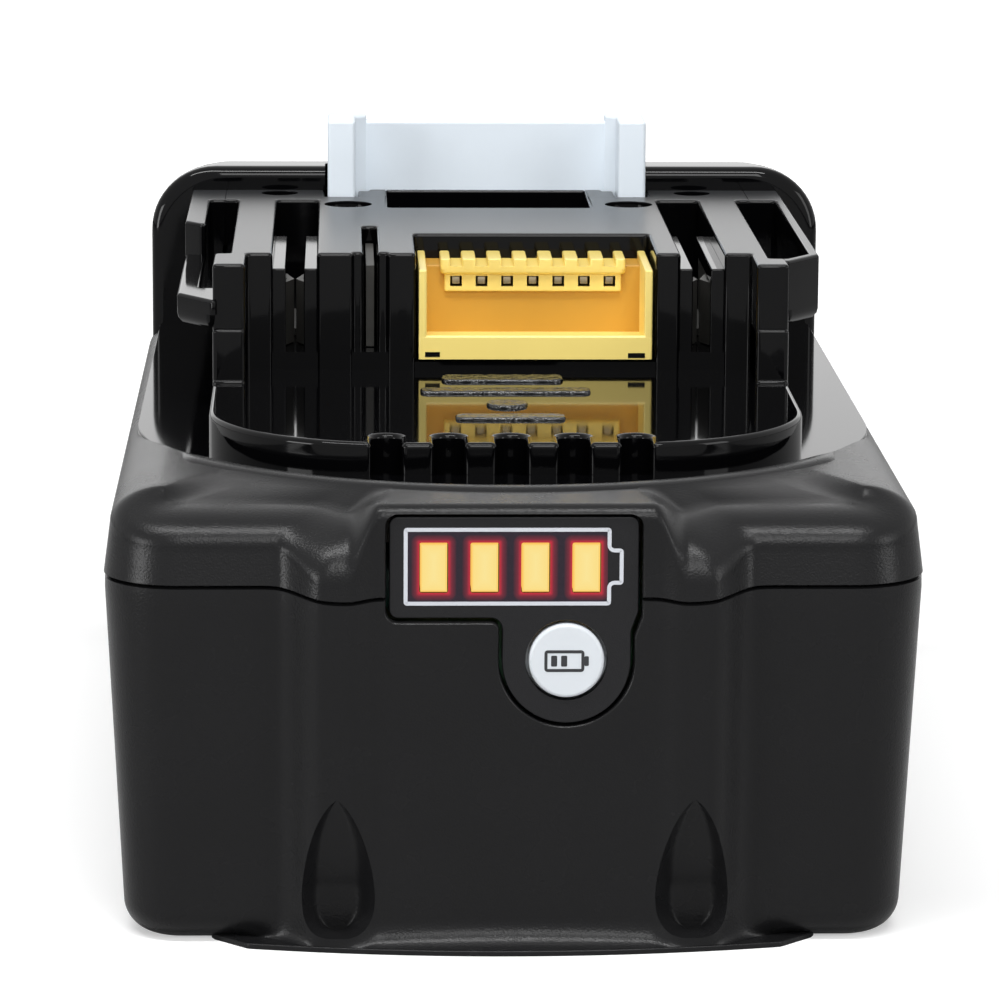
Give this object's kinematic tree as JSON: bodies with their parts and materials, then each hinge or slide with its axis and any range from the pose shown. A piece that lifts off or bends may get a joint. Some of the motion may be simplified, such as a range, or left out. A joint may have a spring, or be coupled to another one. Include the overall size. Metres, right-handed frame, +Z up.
{
  "type": "power tool battery pack",
  "caption": "Slide-on battery pack for cordless tools: two-part case round a block of cells, with guide rails, terminals, signal socket, sprung latch and a charge gauge.",
  "frame": {"origin": "middle of the base, on the surface that the pack stands on", "axes": "+X across the pack to the right seen from the gauge end, +Y from the gauge end to the latch end, +Z up"},
  "size_m": [0.0748, 0.1138, 0.0642],
  "materials": {
    "case_matt": "fine spark texture",
    "case_gloss": "polished, with a matt shoulder",
    "screw_steel": "plain",
    "cell_can": "shrink sleeve over a metal can",
    "holder_plastic": "moulded",
    "strap_nickel": "bright nickel",
    "insulation": "pressed paper",
    "bead": "dipped",
    "circuit_board": "solder mask",
    "component_black": "moulded",
    "contact_brass": "bright",
    "contact_tin": "tin plated",
    "socket_yellow": "satin",
    "panel_grey": "speckled film",
    "lamp_guide": "lit",
    "lamp_body": "plain",
    "ribbon": "flat lead",
    "button_white": "satin",
    "latch_white": "satin"
  },
  "bodies": {
    "case": {"lower_case": "case_matt", "upper_case": "case_gloss", "case_screws": "screw_steel", "cell_1": "cell_can", "cell_2": "cell_can", "cell_3": "cell_can", "cell_4": "cell_can", "cell_5": "cell_can", "cell_6": "cell_can", "cell_7": "cell_can", "cell_8": "cell_can", "cell_9": "cell_can", "cell_10": "cell_can", "cell_holder_left": "holder_plastic", "cell_holder_right": "holder_plastic", "strap_left_1": "strap_nickel", "strap_left_2": "strap_nickel", "strap_left_3": "strap_nickel", "strap_right_1": "strap_nickel", "strap_right_2": "strap_nickel", "strap_right_3": "strap_nickel", "insulator_left": "insulation", "insulator_right": "insulation", "thermistor": "bead", "control_board": "circuit_board", "board_components": "component_black", "positive_terminal": "contact_brass", "negative_terminal": "contact_brass", "signal_blade": "contact_tin", "signal_socket": "socket_yellow", "signal_pins": "contact_tin", "gauge_panel": "panel_grey", "gauge_windows": "lamp_guide", "gauge_board": "circuit_board", "gauge_lamps": "lamp_body", "gauge_ribbon": "ribbon", "check_switch": "component_black", "latch_spring_left": "screw_steel", "latch_spring_right": "screw_steel"},
    "latch": {"release_latch": "latch_white", "thumb_button": "case_matt"},
    "check": {"check_button": "button_white", "switch_plunger": "component_black"}
  },
  "joints": [
    {"name": "latch_slide", "type": "slide", "parent": "case", "child": "latch", "axis": [0, 0, -1], "range_m": [0, 0.007], "stiffness_N_per_m": 500, "springref_m": -0.005, "deforming": ["latch_spring_left", "latch_spring_right"]},
    {"name": "check_button_press", "type": "slide", "parent": "case", "child": "check", "axis": [0, 1, 0], "range_m": [0, 0.0006], "stiffness_N_per_m": 2000, "springref_m": -0.0005}
  ]
}
